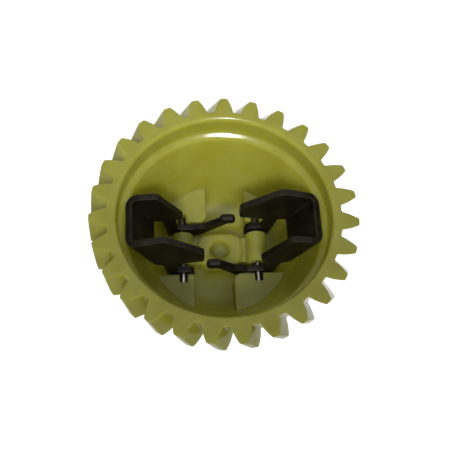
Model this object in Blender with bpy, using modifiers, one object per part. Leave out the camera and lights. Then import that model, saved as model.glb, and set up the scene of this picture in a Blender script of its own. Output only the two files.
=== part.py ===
"""Governor gear: a moulded helical gear shaped like a bowl, with two pivoting flyweights inside it.

Metres, +Z up. The origin is on the gear's axis, on the surface that the gear's flat back rests on.
The bowl opens upwards, the two pivot pins run along Y, and the flyweights face each other along X.
"""

import math

import bmesh
import bpy
from mathutils import Matrix, Vector

# Floor of the bowl, and what rises from its top
FLOOR_THICKNESS = 0.0022
HUB_RISE = 0.0038
PIN_RISE = 0.0034
BRIDGE_RISE = 0.0032
BLOCK_RISE = 0.0051

# Hub pad in the middle of the floor
HUB_LENGTH = 0.0104
HUB_WIDTH = 0.0080
HUB_CORNER = 0.0028
RECESS_DIAMETER = 0.0042
RECESS_DEPTH = 0.0020
RECESS_CHAMFER = 0.0004
SHAFT_BORE_DIAMETER = 0.0060
SHAFT_BORE_DEPTH = 0.0030
SHAFT_BORE_CHAMFER = 0.0004

# Pivot pins
PIN_DIAMETER = 0.0016
PIN_LENGTH = 0.0160
PIN_OFFSET = 0.0084
PIN_CLEARANCE = 0.00015
PIN_END_CLEARANCE = 0.0003

# Middle bosses, each between the cheeks of one flyweight
BOSS_RADIUS = 0.0024
BOSS_CHEEK_CLEARANCE = 0.00095

# Outer blocks, whose open grooves hold the ends of the pins
BLOCK_CHEEK_CLEARANCE = 0.0004
BLOCK_FINGER_SIDE = 0.0028
BLOCK_FINGER_CORNER = 0.0018
BLOCK_PLAIN_SIDE = 0.0060
BLOCK_PLAIN_CORNER = 0.0006

# Flyweights: U-shaped channels, measured out from the pin and up from it
CHEEK_OUTSIDE_WIDTH = 0.0118
SHEET_THICKNESS = 0.0014
BEND_OUTSIDE_RADIUS = 0.0024
BEND_INSIDE_RADIUS = 0.0005
WEB_LEAN = math.radians(25.0)
RIM_OUT = 0.0120
RIM_UP = 0.0152
SHOULDER_IN = 0.0026
SHOULDER_RISE = 0.00145
SHOULDER_OUT = RIM_OUT - SHOULDER_IN
SHOULDER_UP = RIM_UP + SHOULDER_RISE
WEB_FOOT_UP = 0.0062
LEG_TOP_OUT = 0.0045
LEG_TOP_UP = 0.0060
LEG_FOOT_OUT = 0.0030
EYE_IN = 0.0025
EYE_TOP_UP = 0.0017
EYE_ROUND = 0.0017
FOOT_DOWN = 0.0019
NOTCH_OUT = 0.0014
NOTCH_UP = 0.0064
PLAIN_PEAK_OUT = 0.0041
PLAIN_PEAK_RISE = 0.00175
PLAIN_PEAK_UP = SHOULDER_UP + PLAIN_PEAK_RISE
PLAIN_NOSE_IN = 0.0043
PLAIN_NOSE_TOP_UP = 0.0115
PLAIN_NOSE_BOTTOM_UP = 0.0076
FINGER_PEAK_OUT = 0.0055
FINGER_PEAK_RISE = 0.00055
FINGER_PEAK_UP = SHOULDER_UP + FINGER_PEAK_RISE
FINGER_NOSE_IN = 0.0003
FINGER_NOSE_UP = 0.0076
PEAK_ROUND = 0.0015
NOSE_TOP_ROUND = 0.0015
NOSE_ROUND = 0.0007
NOTCH_ROUND = 0.00035

# Finger of each flyweight
FINGER_DIP_IN = 0.0024
FINGER_DIP_UP = 0.0013
FINGER_BEND_IN = 0.0052
FINGER_BEND_UP = 0.0022
HEEL_IN = 0.0040
HEEL_DOWN = 0.0018
KNUCKLE_IN = 0.0101
KNUCKLE_UP = 0.0050
KNUCKLE_LENGTH = 0.0035
KNUCKLE_HEIGHT = 0.0019
KNUCKLE_CORNER = 0.0009
KNUCKLE_OUTSIDE_STEP = 0.0005
KNUCKLE_INSIDE_STEP = 0.0001
KNUCKLE_JOINT_STEP = 0.0003

# Bowl, whose leaning wall clears the upper edges of the flyweights
FRONT_HEIGHT = 0.0252
WEIGHT_RIM_DEPTH = FRONT_HEIGHT - FLOOR_THICKNESS - PIN_RISE - RIM_UP
WALL_CLEARANCE = 0.0007
WALL_LEAN = math.radians(22.8)
WALL_THICKNESS = 0.0019
WALL_TOP_DROP = 0.0009
WALL_TOP_DEPTH = WEIGHT_RIM_DEPTH + WALL_TOP_DROP
WALL_TOP_RADIUS = PIN_OFFSET + RIM_OUT + WALL_CLEARANCE - WALL_TOP_DROP * math.tan(WALL_LEAN)
WALL_TOP_ROUND = 0.0012
FLOOR_FILLET = 0.0041
BACK_FILLET = 0.0050

# Sloping ledge above the wall, and the upright step from it to the rim
LEDGE_WIDTH = 0.00148
LEDGE_DROP = 0.0005
LEDGE_ROUND = 0.0006
STEP_RADIUS = WALL_TOP_RADIUS + LEDGE_WIDTH
RIM_EDGE_REACH = 0.0007
RIM_EDGE_DROP = 0.0010
RIM_EDGE_RADIUS = STEP_RADIUS + RIM_EDGE_REACH

# Rim and teeth, outwards from the rim's inner edge
RIM_WIDTH = 0.00134
DEDENDUM = 0.00178
TOOTH_DEPTH = 0.00356
ROOT_RADIUS = RIM_EDGE_RADIUS + RIM_WIDTH
PITCH_RADIUS = ROOT_RADIUS + DEDENDUM
TIP_RADIUS = ROOT_RADIUS + TOOTH_DEPTH
TOOTH_COUNT = 27
TOOTH_SHARE = 0.5186
PRESSURE_ANGLE = math.radians(23.57)
BASE_RADIUS = PITCH_RADIUS * math.cos(PRESSURE_ANGLE)
FACE_WIDTH = 0.0045
HELIX_ANGLE = math.radians(30.2)
TOOTH_PHASE = math.radians(-5.7)

# Smoothness of the curved surfaces
TURN_STEPS = 96
FLANK_POINTS = 4
TOOTH_LAYERS = 3
ARC_STEPS = 5
ROUND_STEPS = 24
SMOOTH_ANGLE = math.radians(32.0)

# Reach past a surface, so that a cut or a joint goes right through it
OVERLAP = 0.0010


def clear_scene():
    """Remove every object of the open scene."""
    for obj in list(bpy.data.objects):
        bpy.data.objects.remove(obj, do_unlink=True)


def new_collection(name):
    """Make a collection in the scene."""
    collection = bpy.data.collections.new(name)
    bpy.context.scene.collection.children.link(collection)
    return collection


def new_material(name, colour, roughness, metallic=0.0):
    """Make a plain Principled material."""
    material = bpy.data.materials.new(name)
    material.use_nodes = True
    shader = material.node_tree.nodes["Principled BSDF"]
    shader.inputs["Base Color"].default_value = (*colour, 1.0)
    shader.inputs["Roughness"].default_value = roughness
    shader.inputs["Metallic"].default_value = metallic
    return material


def mesh_object(name, bm, collection):
    """Turn a bmesh into an object with its faces pointing out."""
    bmesh.ops.recalc_face_normals(bm, faces=bm.faces)
    mesh = bpy.data.meshes.new(name)
    bm.to_mesh(mesh)
    bm.free()
    obj = bpy.data.objects.new(name, mesh)
    collection.objects.link(obj)
    return obj


def hide_helper(obj):
    """Keep a cutter or a joined shape out of the finished part."""
    obj.hide_render = True
    obj.display_type = "WIRE"
    return obj


def boolean(target, helper, operation):
    """Add, cut or keep the common part with an exact Boolean."""
    modifier = target.modifiers.new(f"{operation.lower()} {helper.name}", "BOOLEAN")
    modifier.operation = operation
    modifier.solver = "EXACT"
    modifier.object = helper
    return modifier


def rounded_outline(corners):
    """Points of a closed outline whose corners are given as (u, v, radius)."""
    points = []
    count = len(corners)
    for index, (u, v, radius) in enumerate(corners):
        here = Vector((u, v))
        if radius == 0.0:
            points.append(here)
            continue
        back = (Vector(corners[index - 1][:2]) - here).normalized()
        ahead = (Vector(corners[(index + 1) % count][:2]) - here).normalized()
        half_angle = back.angle(ahead) / 2
        centre = here + (back + ahead).normalized() * radius / math.sin(half_angle)
        start = here + back * radius / math.tan(half_angle) - centre
        turn = start.angle_signed(here + ahead * radius / math.tan(half_angle) - centre)
        for step in range(ARC_STEPS + 1):
            spoke = start.copy()
            spoke.rotate(Matrix.Rotation(-turn * step / ARC_STEPS, 2))
            points.append(centre + spoke)
    return points


def plate(name, outline, y_low, y_high, collection):
    """Extrude an outline of (x, z) points along Y, as a flat 2D curve made into a mesh."""
    curve = bpy.data.curves.new(name, "CURVE")
    curve.dimensions = "2D"
    curve.fill_mode = "BOTH"
    curve.extrude = (y_high - y_low) / 2
    spline = curve.splines.new("POLY")
    spline.points.add(len(outline) - 1)
    for point, (x, z) in zip(spline.points, outline):
        point.co = (x, z, 0.0, 1.0)
    spline.use_cyclic_u = True
    flat = bpy.data.objects.new(f"{name} outline", curve)
    collection.objects.link(flat)
    bpy.context.view_layer.update()
    graph = bpy.context.evaluated_depsgraph_get()
    bm = bmesh.new()
    bm.from_mesh(bpy.data.meshes.new_from_object(flat.evaluated_get(graph)))
    bpy.data.objects.remove(flat, do_unlink=True)
    bmesh.ops.remove_doubles(bm, verts=bm.verts, dist=1e-6)
    stand = Matrix.Translation((0.0, (y_low + y_high) / 2, 0.0)) @ Matrix.Rotation(math.pi / 2, 4, "X")
    bmesh.ops.transform(bm, matrix=stand, verts=bm.verts)
    return mesh_object(name, bm, collection)


def rod_along_y(name, radius, y_low, y_high, x, z, collection):
    """A cylinder along Y, from y_low to y_high."""
    bm = bmesh.new()
    place = Matrix.Translation((x, (y_low + y_high) / 2, z)) @ Matrix.Rotation(math.pi / 2, 4, "X")
    bmesh.ops.create_cone(
        bm,
        cap_ends=True,
        segments=ROUND_STEPS,
        radius1=radius,
        radius2=radius,
        depth=y_high - y_low,
        matrix=place,
    )
    return mesh_object(name, bm, collection)


def box(name, low, high, collection):
    """A box between two corners."""
    bm = bmesh.new()
    size = Vector(high) - Vector(low)
    middle = (Vector(high) + Vector(low)) / 2
    bmesh.ops.create_cube(bm, size=1.0, matrix=Matrix.Translation(middle) @ Matrix.Diagonal((*size, 1.0)))
    return mesh_object(name, bm, collection)


def round_upright_edges(obj, radius, keep=lambda middle: True):
    """Round the edges of a box that run along Z and whose middle passes the test."""
    bm = bmesh.new()
    bm.from_mesh(obj.data)
    upright = []
    for edge in bm.edges:
        first, second = (vert.co for vert in edge.verts)
        if (first - second).xy.length < 1e-7 and keep((first + second) / 2):
            upright.append(edge)
    bmesh.ops.bevel(
        bm, geom=upright, offset=radius, segments=ARC_STEPS, profile=0.5, affect="EDGES", material=-1
    )
    bm.to_mesh(obj.data)
    bm.free()


def turned(name, profile, collection):
    """Turn a profile of (radius, height) points round Z, from the top of its outer side down."""
    bm = bmesh.new()
    verts = [bm.verts.new((radius, 0.0, height)) for radius, height in profile]
    for first, second in zip(verts, verts[1:]):
        bm.edges.new((first, second))
    mesh = bpy.data.meshes.new(name)
    bm.to_mesh(mesh)
    bm.free()
    obj = bpy.data.objects.new(name, mesh)
    collection.objects.link(obj)
    screw = obj.modifiers.new("turn", "SCREW")
    screw.axis = "Z"
    screw.steps = TURN_STEPS
    screw.render_steps = TURN_STEPS
    screw.use_merge_vertices = True
    screw.merge_threshold = 1e-6
    screw.use_smooth_shade = True
    return obj


def shade(obj, material):
    """Give an object its material, smooth on the round stretches and sharp at the edges."""
    obj.data.materials.clear()
    obj.data.materials.append(material)
    obj.data.shade_smooth()
    obj.data.set_sharp_from_angle(angle=SMOOTH_ANGLE)


def below_front(depth):
    """Height above the resting surface of a point this deep below the gear's front face."""
    return FRONT_HEIGHT - depth


def above_floor(rise):
    """Height above the resting surface of a point this far above the bowl's floor."""
    return FLOOR_THICKNESS + rise


def involute(radius):
    """The involute function at a radius, for the teeth's base circle."""
    pressure = math.acos(min(1.0, BASE_RADIUS / radius))
    return math.tan(pressure) - pressure


def flank_angle(radius):
    """Half the angle that a tooth takes up at a radius."""
    at_pitch = TOOTH_SHARE * math.pi / TOOTH_COUNT
    return at_pitch + involute(PITCH_RADIUS) - involute(radius)


def tooth_outline():
    """The closed outline of all the teeth, as (x, y) points."""
    rise = (TIP_RADIUS - ROOT_RADIUS) / (FLANK_POINTS - 1)
    radii = [ROOT_RADIUS + rise * step for step in range(FLANK_POINTS)]
    points = []
    for tooth in range(TOOTH_COUNT):
        middle = TOOTH_PHASE + tooth * math.tau / TOOTH_COUNT
        rising = [(radius, middle - flank_angle(radius)) for radius in radii]
        falling = [(radius, middle + flank_angle(radius)) for radius in reversed(radii)]
        gap_middle = (ROOT_RADIUS, middle + math.pi / TOOTH_COUNT)
        for radius, angle in [*rising, *falling, gap_middle]:
            points.append((radius * math.cos(angle), radius * math.sin(angle)))
    return points


def tooth_disc(collection):
    """A full disc with the helical teeth, which the bowl is then joined to."""
    twist = FACE_WIDTH * math.tan(HELIX_ANGLE) / PITCH_RADIUS
    bm = bmesh.new()
    front = below_front(0.0)
    verts = [bm.verts.new((x, y, front)) for x, y in tooth_outline()]
    face = bm.faces.new(verts)
    bmesh.ops.spin(
        bm,
        geom=[face, *face.edges, *face.verts],
        cent=(0.0, 0.0, 0.0),
        axis=(0.0, 0.0, 1.0),
        dvec=(0.0, 0.0, -FACE_WIDTH / TOOTH_LAYERS),
        angle=twist,
        steps=TOOTH_LAYERS,
        use_duplicate=False,
    )
    if not any(all(abs(vert.co.z - front) < 1e-7 for vert in side.verts) for side in bm.faces):
        bm.faces.new(verts)
    return mesh_object("tooth disc", bm, collection)


def wall_radius(depth):
    """Radius of the bowl's inner wall at a depth below the front face."""
    return WALL_TOP_RADIUS - (depth - WALL_TOP_DEPTH) * math.tan(WALL_LEAN)


def bowl_cavity(collection):
    """The hollow of the bowl as a solid to cut with, from above its rim down to its floor."""
    top = below_front(-OVERLAP)
    corners = [
        (0.0, top, 0.0),
        (RIM_EDGE_RADIUS, top, 0.0),
        (RIM_EDGE_RADIUS, below_front(0.0), 0.0),
    ]
    for step in range(1, ARC_STEPS + 1):
        angle = math.pi / 2 * step / ARC_STEPS
        radius = RIM_EDGE_RADIUS - RIM_EDGE_REACH * math.sin(angle)
        corners.append((radius, below_front(RIM_EDGE_DROP * (1 - math.cos(angle))), 0.0))
    corners += [
        (STEP_RADIUS, below_front(WALL_TOP_DEPTH - LEDGE_DROP), LEDGE_ROUND),
        (WALL_TOP_RADIUS, below_front(WALL_TOP_DEPTH), WALL_TOP_ROUND),
        (wall_radius(FRONT_HEIGHT - FLOOR_THICKNESS), above_floor(0.0), FLOOR_FILLET),
        (0.0, above_floor(0.0), 0.0),
    ]
    return turned("bowl cavity", rounded_outline(corners), collection)


def filled_bowl(name, share, collection):
    """The bowl as a full solid with this share of its wall and floor, reaching up into the rim."""
    top_depth = FACE_WIDTH - OVERLAP
    out = share * WALL_THICKNESS / math.cos(WALL_LEAN)
    bottom = FLOOR_THICKNESS * (1 - share)
    corners = [
        (0.0, below_front(top_depth), 0.0),
        (wall_radius(top_depth) + out, below_front(top_depth), 0.0),
        (wall_radius(FRONT_HEIGHT - bottom) + out, bottom, BACK_FILLET),
        (0.0, bottom, 0.0),
    ]
    return turned(name, rounded_outline(corners), collection)


def hub_pad(collection):
    """The raised pad in the middle, which the round recess is sunk into."""
    half = Vector((HUB_LENGTH / 2, HUB_WIDTH / 2))
    low = (-half.x, -half.y, above_floor(-OVERLAP))
    pad = box("hub pad", low, (half.x, half.y, above_floor(HUB_RISE)), collection)
    round_upright_edges(pad, HUB_CORNER)
    return pad


def boss_half_length():
    """Half the length of a boss, which fits between the two cheeks."""
    return CHEEK_OUTSIDE_WIDTH / 2 - SHEET_THICKNESS - BOSS_CHEEK_CLEARANCE


def pivot_boss(side, collection):
    """A boss with a rounded top along the pin, standing on the floor."""
    x = side * PIN_OFFSET
    axis = above_floor(PIN_RISE)
    outline = [(x - BOSS_RADIUS, above_floor(-OVERLAP))]
    for step in range(2 * ARC_STEPS + 1):
        angle = math.pi * (1 - step / (2 * ARC_STEPS))
        outline.append((x + BOSS_RADIUS * math.cos(angle), axis + BOSS_RADIUS * math.sin(angle)))
    outline.append((x + BOSS_RADIUS, above_floor(-OVERLAP)))
    half = boss_half_length()
    return plate(f"boss {side:+d}", outline, -half, half, collection)


def boss_bridge(collection):
    """The low web that joins both bosses to the hub pad."""
    reach = PIN_OFFSET - BOSS_RADIUS / 2
    half_width = boss_half_length() - OVERLAP / 2
    low = (-reach, -half_width, above_floor(-OVERLAP))
    return box("boss bridge", low, (reach, half_width, above_floor(BRIDGE_RISE)), collection)


def block_start():
    """How far from the middle the outer blocks start, just beside the cheeks."""
    return CHEEK_OUTSIDE_WIDTH / 2 + BLOCK_CHEEK_CLEARANCE


def outer_block(side, end, collection, limit):
    """A flat-topped block from beside the cheeks into the bowl's wall, cut off at the limit."""
    has_finger = side * end < 0
    inner_x = side * (BLOCK_FINGER_SIDE if has_finger else BLOCK_PLAIN_SIDE)
    inner_y = end * block_start()
    low_x, high_x = sorted((inner_x, side * TIP_RADIUS))
    low_y, high_y = sorted((inner_y, end * TIP_RADIUS))
    low = (low_x, low_y, above_floor(-OVERLAP))
    block = box(f"block {side:+d} {end:+d}", low, (high_x, high_y, above_floor(BLOCK_RISE)), collection)
    corner = Vector((inner_x, inner_y))
    radius = BLOCK_FINGER_CORNER if has_finger else BLOCK_PLAIN_CORNER
    round_upright_edges(block, radius, lambda middle: (middle.xy - corner).length < 1e-6)
    boolean(block, limit, "INTERSECT")
    return block


def pin_groove(side, end, collection):
    """The open-topped groove in one outer block, for one end of a pin."""
    x = side * PIN_OFFSET
    radius = PIN_DIAMETER / 2 + PIN_CLEARANCE
    axis = above_floor(PIN_RISE)
    top = above_floor(BLOCK_RISE) + OVERLAP
    outline = [(x + radius, top), (x - radius, top)]
    for step in range(2 * ARC_STEPS + 1):
        angle = math.pi * (1 + step / (2 * ARC_STEPS))
        outline.append((x + radius * math.cos(angle), axis + radius * math.sin(angle)))
    far = end * (PIN_LENGTH / 2 + PIN_END_CLEARANCE)
    low_y, high_y = sorted((end * (block_start() - BLOCK_CHEEK_CLEARANCE / 2), far))
    return plate(f"groove {side:+d} {end:+d}", outline, low_y, high_y, collection)


def hub_recess(collection):
    """The round recess in the top of the hub pad, with its chamfered mouth."""
    mouth = above_floor(HUB_RISE)
    radius = RECESS_DIAMETER / 2
    wide = radius + RECESS_CHAMFER
    profile = [
        (0.0, mouth + OVERLAP),
        (wide, mouth + OVERLAP),
        (wide, mouth),
        (radius, mouth - RECESS_CHAMFER),
        (radius, mouth - RECESS_DEPTH),
        (0.0, mouth - RECESS_DEPTH),
    ]
    return turned("hub recess", profile, collection)


def shaft_bore(collection):
    """The blind bore in the gear's back that a stub shaft goes into."""
    radius = SHAFT_BORE_DIAMETER / 2
    wide = radius + SHAFT_BORE_CHAMFER
    profile = [
        (0.0, SHAFT_BORE_DEPTH),
        (radius, SHAFT_BORE_DEPTH),
        (radius, SHAFT_BORE_CHAMFER),
        (wide, 0.0),
        (wide, -OVERLAP),
        (0.0, -OVERLAP),
    ]
    return turned("shaft bore", profile, collection)


def make_gear(parts, helpers, material):
    """The gear: one moulded piece with teeth, bowl, hub pad, bosses and blocks."""
    limit = hide_helper(filled_bowl("middle of the wall", 0.5, helpers))
    gear = filled_bowl("governor_gear", 1.0, parts)
    boolean(gear, hide_helper(tooth_disc(helpers)), "UNION")
    boolean(gear, hide_helper(bowl_cavity(helpers)), "DIFFERENCE")
    boolean(gear, hide_helper(hub_pad(helpers)), "UNION")
    boolean(gear, hide_helper(boss_bridge(helpers)), "UNION")
    for side in (-1, 1):
        boolean(gear, hide_helper(pivot_boss(side, helpers)), "UNION")
        for end in (-1, 1):
            boolean(gear, hide_helper(outer_block(side, end, helpers, limit)), "UNION")
    for side in (-1, 1):
        hole_radius = PIN_DIAMETER / 2 + PIN_CLEARANCE
        hole_reach = boss_half_length() + OVERLAP
        hole = rod_along_y(
            f"boss hole {side:+d}",
            hole_radius,
            -hole_reach,
            hole_reach,
            side * PIN_OFFSET,
            above_floor(PIN_RISE),
            helpers,
        )
        boolean(gear, hide_helper(hole), "DIFFERENCE")
        for end in (-1, 1):
            boolean(gear, hide_helper(pin_groove(side, end, helpers)), "DIFFERENCE")
    boolean(gear, hide_helper(hub_recess(helpers)), "DIFFERENCE")
    boolean(gear, hide_helper(shaft_bore(helpers)), "DIFFERENCE")
    shade(gear, material)
    return gear


def channel_solid(name, inset, bend_radius, helpers):
    """A box with two bent edges, leaning like the web, for the outside or the inside of the U."""
    top = RIM_UP + SHOULDER_UP
    low = -RIM_UP
    half_width = CHEEK_OUTSIDE_WIDTH / 2 - inset
    back = RIM_OUT - inset / math.cos(WEB_LEAN)
    front = -KNUCKLE_IN - RIM_UP - SHOULDER_UP
    channel = box(name, (front, -half_width, low), (back, half_width, top), helpers)
    round_upright_edges(channel, bend_radius, lambda middle: middle.x > 0)
    lean = Matrix.Identity(4)
    lean[0][2] = math.tan(WEB_LEAN)
    lean[0][3] = -RIM_UP * math.tan(WEB_LEAN)
    channel.data.transform(lean)
    return channel


def web_out(up):
    """How far out the web's outer face is at a height above the pin."""
    return RIM_OUT - (RIM_UP - up) * math.tan(WEB_LEAN)


def plain_cheek_outline():
    """Side view of the cheek that has a long nose and no finger."""
    return rounded_outline(
        [
            (web_out(RIM_UP) + OVERLAP, RIM_UP, 0.0),
            (SHOULDER_OUT, SHOULDER_UP, 0.0),
            (PLAIN_PEAK_OUT, PLAIN_PEAK_UP, PEAK_ROUND),
            (-PLAIN_NOSE_IN, PLAIN_NOSE_TOP_UP, NOSE_TOP_ROUND),
            (-PLAIN_NOSE_IN, PLAIN_NOSE_BOTTOM_UP, NOSE_ROUND),
            (NOTCH_OUT, NOTCH_UP, NOSE_ROUND),
            (NOTCH_OUT, EYE_TOP_UP, NOTCH_ROUND),
            (-EYE_IN, EYE_TOP_UP, EYE_ROUND),
            (-EYE_IN, -FOOT_DOWN, 0.0),
            (LEG_FOOT_OUT, -FOOT_DOWN, 0.0),
            (LEG_TOP_OUT, LEG_TOP_UP, NOSE_ROUND),
            (web_out(WEB_FOOT_UP) + OVERLAP, WEB_FOOT_UP, 0.0),
        ]
    )


def finger_cheek_outline():
    """Side view of the cheek that carries the finger, which ends inside the knuckle."""
    joint_half_height = KNUCKLE_HEIGHT / 2 - KNUCKLE_JOINT_STEP
    return rounded_outline(
        [
            (web_out(RIM_UP) + OVERLAP, RIM_UP, 0.0),
            (SHOULDER_OUT, SHOULDER_UP, 0.0),
            (FINGER_PEAK_OUT, FINGER_PEAK_UP, PEAK_ROUND),
            (-FINGER_NOSE_IN, FINGER_NOSE_UP, NOSE_ROUND),
            (NOTCH_OUT, NOTCH_UP, NOTCH_ROUND),
            (NOTCH_OUT, EYE_TOP_UP, NOSE_ROUND),
            (-FINGER_DIP_IN, FINGER_DIP_UP, NOSE_ROUND),
            (-FINGER_BEND_IN, FINGER_BEND_UP, NOSE_ROUND),
            (-KNUCKLE_IN + KNUCKLE_LENGTH / 4, KNUCKLE_UP + joint_half_height, 0.0),
            (-KNUCKLE_IN, KNUCKLE_UP - joint_half_height, 0.0),
            (-HEEL_IN, -HEEL_DOWN, NOTCH_ROUND),
            (LEG_FOOT_OUT, -FOOT_DOWN, 0.0),
            (LEG_TOP_OUT, LEG_TOP_UP, NOSE_ROUND),
            (web_out(WEB_FOOT_UP) + OVERLAP, WEB_FOOT_UP, 0.0),
        ]
    )


def knuckle_pad(name, collection):
    """The knuckle at the finger's tip: oval from above, and standing out past both faces of the cheek."""
    outer_face = -CHEEK_OUTSIDE_WIDTH / 2
    low = (
        -KNUCKLE_IN - KNUCKLE_LENGTH / 2,
        outer_face - KNUCKLE_OUTSIDE_STEP,
        KNUCKLE_UP - KNUCKLE_HEIGHT / 2,
    )
    high = (
        -KNUCKLE_IN + KNUCKLE_LENGTH / 2,
        outer_face + SHEET_THICKNESS + KNUCKLE_INSIDE_STEP,
        KNUCKLE_UP + KNUCKLE_HEIGHT / 2,
    )
    knuckle = box(name, low, high, collection)
    round_upright_edges(knuckle, KNUCKLE_CORNER)
    return knuckle


def make_flyweight(name, side, parts, helpers, material):
    """A flyweight whose origin is on its pin; the one at +X is turned half round to make the other."""
    half_width = CHEEK_OUTSIDE_WIDTH / 2
    body = channel_solid(name, 0.0, BEND_OUTSIDE_RADIUS, parts)
    hollow = channel_solid(f"{name} hollow", SHEET_THICKNESS, BEND_INSIDE_RADIUS, helpers)
    under_web = box(
        f"{name} under the web",
        (-RIM_OUT, -half_width + SHEET_THICKNESS, -RIM_UP),
        (2 * RIM_OUT, half_width - SHEET_THICKNESS, WEB_FOOT_UP),
        helpers,
    )
    finger_side = plate(f"{name} finger side", finger_cheek_outline(), -half_width - OVERLAP, 0.0, helpers)
    side_view = plate(f"{name} side view", plain_cheek_outline(), -OVERLAP, half_width + OVERLAP, helpers)
    boolean(side_view, hide_helper(finger_side), "UNION")
    knuckle = knuckle_pad(f"{name} knuckle", helpers)
    pin_hole = rod_along_y(
        f"{name} pin hole",
        PIN_DIAMETER / 2 + PIN_CLEARANCE,
        -half_width - OVERLAP,
        half_width + OVERLAP,
        0.0,
        0.0,
        helpers,
    )
    boolean(body, hide_helper(hollow), "DIFFERENCE")
    boolean(body, hide_helper(under_web), "DIFFERENCE")
    boolean(body, hide_helper(side_view), "INTERSECT")
    boolean(body, hide_helper(knuckle), "UNION")
    boolean(body, hide_helper(pin_hole), "DIFFERENCE")
    place = Matrix.Translation((side * PIN_OFFSET, 0.0, above_floor(PIN_RISE)))
    if side < 0:
        place = place @ Matrix.Rotation(math.pi, 4, "Z")
    for piece in (body, hollow, under_web, finger_side, side_view, knuckle, pin_hole):
        piece.matrix_world = place
    shade(body, material)
    return body


def make_pin(name, side, parts, material):
    """A plain steel pivot pin along Y, with its origin at its middle."""
    half = PIN_LENGTH / 2
    pin = rod_along_y(name, PIN_DIAMETER / 2, -half, half, 0.0, 0.0, parts)
    pin.location = (side * PIN_OFFSET, 0.0, above_floor(PIN_RISE))
    shade(pin, material)
    return pin


def main():
    """Build the gear, both flyweights and both pins."""
    clear_scene()
    parts = new_collection("governor gear")
    helpers = new_collection("cutters")
    plastic = new_material("olive yellow nylon", (0.36, 0.35, 0.06), 0.32)
    black = new_material("black weight metal", (0.018, 0.016, 0.015), 0.42, 0.6)
    steel = new_material("pin steel", (0.62, 0.61, 0.60), 0.25, 1.0)
    make_gear(parts, helpers, plastic)
    make_flyweight("right_flyweight", 1, parts, helpers, black)
    make_flyweight("left_flyweight", -1, parts, helpers, black)
    make_pin("right_pivot_pin", 1, parts, steel)
    make_pin("left_pivot_pin", -1, parts, steel)


main()
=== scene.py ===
"""Scene of a small engine's governor gear.

It is a moulded helical gear shaped like a bowl, with two black flyweights that swing on steel pins inside.
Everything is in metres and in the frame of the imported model. +Z is up out of the bowl, and the pins run
along Y.
"""

from __future__ import annotations

import logging
import math
from collections.abc import Callable, Sequence
from dataclasses import dataclass, field
from enum import Enum

import bmesh
import bpy
from bmesh.types import BMEdge, BMesh
from mathutils import Matrix, Vector

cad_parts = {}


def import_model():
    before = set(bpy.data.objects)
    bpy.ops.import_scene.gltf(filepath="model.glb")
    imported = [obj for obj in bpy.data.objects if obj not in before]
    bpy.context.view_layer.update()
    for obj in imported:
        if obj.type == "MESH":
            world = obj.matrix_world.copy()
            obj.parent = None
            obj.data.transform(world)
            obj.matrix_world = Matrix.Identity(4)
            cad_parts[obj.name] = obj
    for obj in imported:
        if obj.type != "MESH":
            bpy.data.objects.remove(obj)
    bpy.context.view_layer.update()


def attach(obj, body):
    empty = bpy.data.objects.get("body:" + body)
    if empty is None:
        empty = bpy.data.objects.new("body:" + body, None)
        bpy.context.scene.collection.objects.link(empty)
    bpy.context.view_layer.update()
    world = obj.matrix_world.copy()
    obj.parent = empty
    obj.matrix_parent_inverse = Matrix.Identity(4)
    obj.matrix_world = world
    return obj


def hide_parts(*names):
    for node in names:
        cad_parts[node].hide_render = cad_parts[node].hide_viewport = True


LOG = logging.getLogger("governor_gear")

Corner = tuple[float, float, float]
Point = tuple[float, float, float]
Colour = tuple[float, float, float]
Socket = bpy.types.NodeSocket
Inputs = dict[str | int, Socket | float | tuple[float, ...]]

# Points closer than MERGE become one. Helper solids reach OVERLAP past what they cut or join.
MERGE = 1e-6
OVERLAP = 0.001
# Only edges that bend by more than this are rounded.
EDGE_ANGLE = math.radians(20.0)
# The mesh attribute that says how exposed a point is.
WEAR = "wear"

# The pins, which the other pieces are built round. The clearance is all round.
PIN_RADIUS = 0.0008
PIN_CLEARANCE = 0.00015
HOLE_RADIUS = PIN_RADIUS + PIN_CLEARANCE
PIN_OFFSET = 0.0084
PIN_HEIGHT = 0.0056


class Operation(Enum):
    """How a helper solid changes a body."""

    ADD = "UNION"
    CUT = "DIFFERENCE"
    KEEP = "INTERSECT"


def rounded_outline(corners: Sequence[Corner], steps: int) -> list[Vector]:
    """Work out the points of a closed outline with rounded corners.

    Args:
        corners: Each corner as (u, v, radius).
        steps: How many straight steps a rounded corner takes.

    Returns:
        The outline's points in order.
    """
    points: list[Vector] = []
    count = len(corners)
    for index, (u, v, radius) in enumerate(corners):
        here = Vector((u, v))
        if radius == 0.0:
            points.append(here)
            continue
        back = (Vector(corners[index - 1][:2]) - here).normalized()
        ahead = (Vector(corners[(index + 1) % count][:2]) - here).normalized()
        half_angle = back.angle(ahead) / 2
        centre = here + (back + ahead).normalized() * radius / math.sin(half_angle)
        reach = radius / math.tan(half_angle)
        start = here + back * reach - centre
        turn = start.angle_signed(here + ahead * reach - centre)
        for step in range(steps + 1):
            spoke = start.copy()
            spoke.rotate(Matrix.Rotation(-turn * step / steps, 2))
            points.append(centre + spoke)
    return points


def outward(bm: BMesh) -> BMesh:
    """Merge what coincides and turn every face outwards.

    Args:
        bm: The mesh to clean.

    Returns:
        The same mesh.
    """
    bmesh.ops.remove_doubles(bm, verts=bm.verts, dist=MERGE)
    bmesh.ops.recalc_face_normals(bm, faces=bm.faces)
    return bm


def bevel_edges(bm: BMesh, edges: Sequence[BMEdge], offset: float, segments: int) -> None:
    """Round the given edges.

    Args:
        bm: The mesh.
        edges: The edges to round.
        offset: How far the rounding reaches from each edge.
        segments: How many strips the rounding has.
    """
    bmesh.ops.bevel(
        bm, geom=list(edges), offset=offset, segments=segments, profile=0.5, affect="EDGES",
        clamp_overlap=True, material=-1,
    )


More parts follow.
